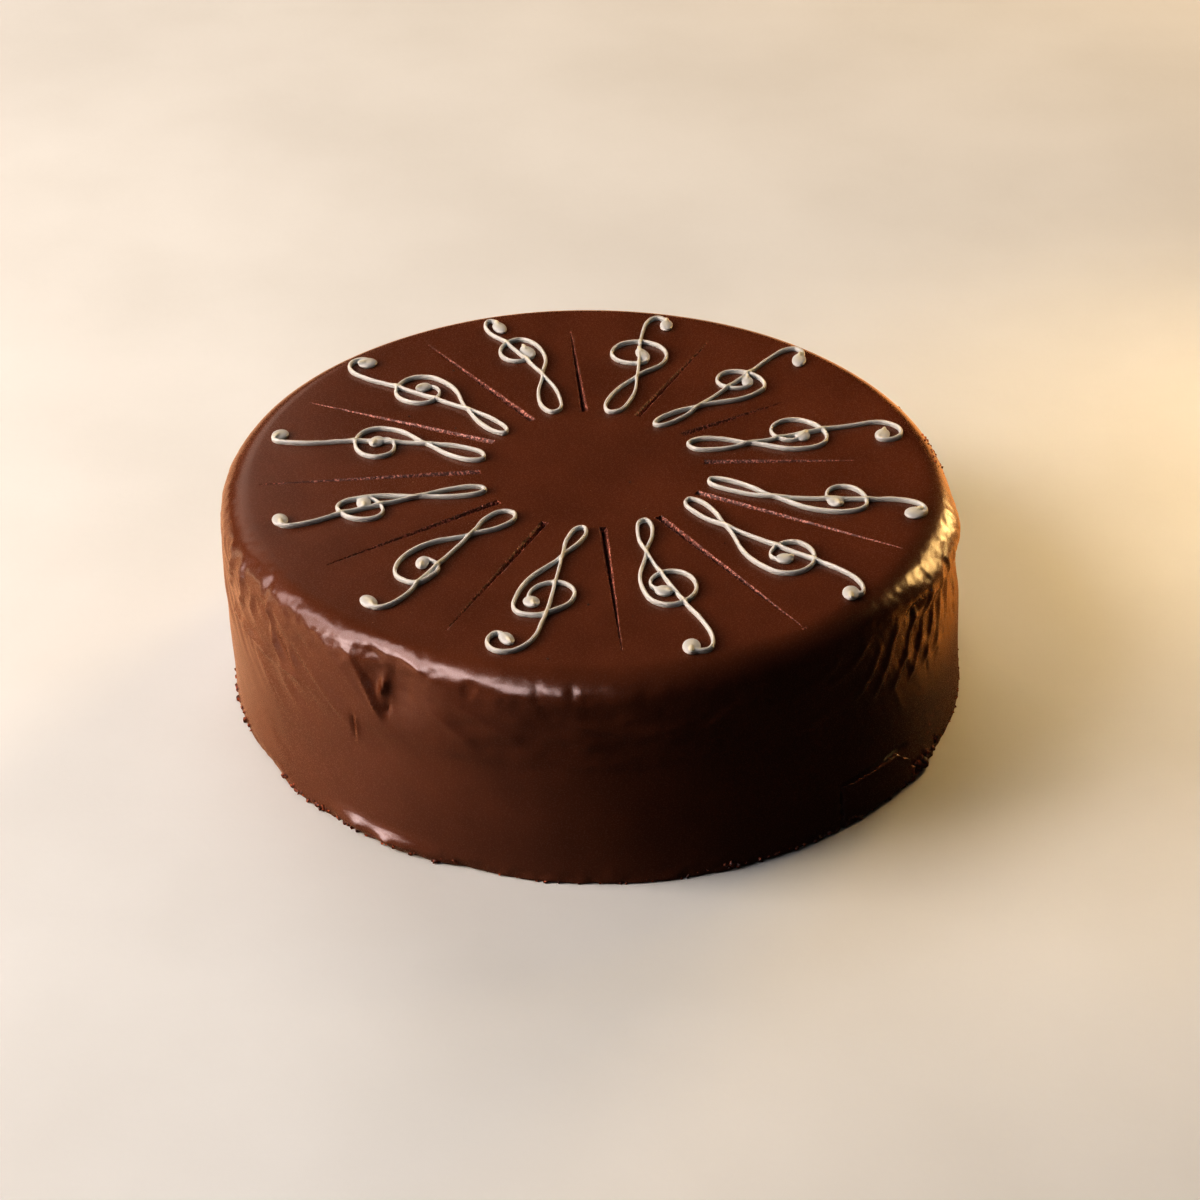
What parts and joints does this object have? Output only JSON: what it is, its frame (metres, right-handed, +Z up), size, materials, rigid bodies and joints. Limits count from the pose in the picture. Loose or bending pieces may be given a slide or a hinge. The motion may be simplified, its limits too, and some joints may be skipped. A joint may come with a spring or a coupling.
{
  "type": "mozart torte",
  "caption": "Round torte under a dark chocolate glaze, its flat top marked into slices by radial cuts, with a piped white treble clef on each slice.",
  "frame": {"origin": "middle of the flat base, on the surface the cake stands on", "axes": "+Z up, -Y towards the side the picture was taken from, +X to its right"},
  "size_m": [0.2605, 0.2592, 0.0807],
  "materials": {
    "chocolate_glaze": "satin dark chocolate glaze with soft highlights and fine grain",
    "white_icing": "smooth off-white icing with a soft sheen"
  },
  "bodies": {
    "root": {"glazed_torte": "chocolate_glaze", "treble_clef_01": "white_icing", "treble_clef_02": "white_icing", "treble_clef_03": "white_icing", "treble_clef_04": "white_icing", "treble_clef_05": "white_icing", "treble_clef_06": "white_icing", "treble_clef_07": "white_icing", "treble_clef_08": "white_icing", "treble_clef_09": "white_icing", "treble_clef_10": "white_icing", "treble_clef_11": "white_icing", "treble_clef_12": "white_icing"}
  },
  "joints": []
}
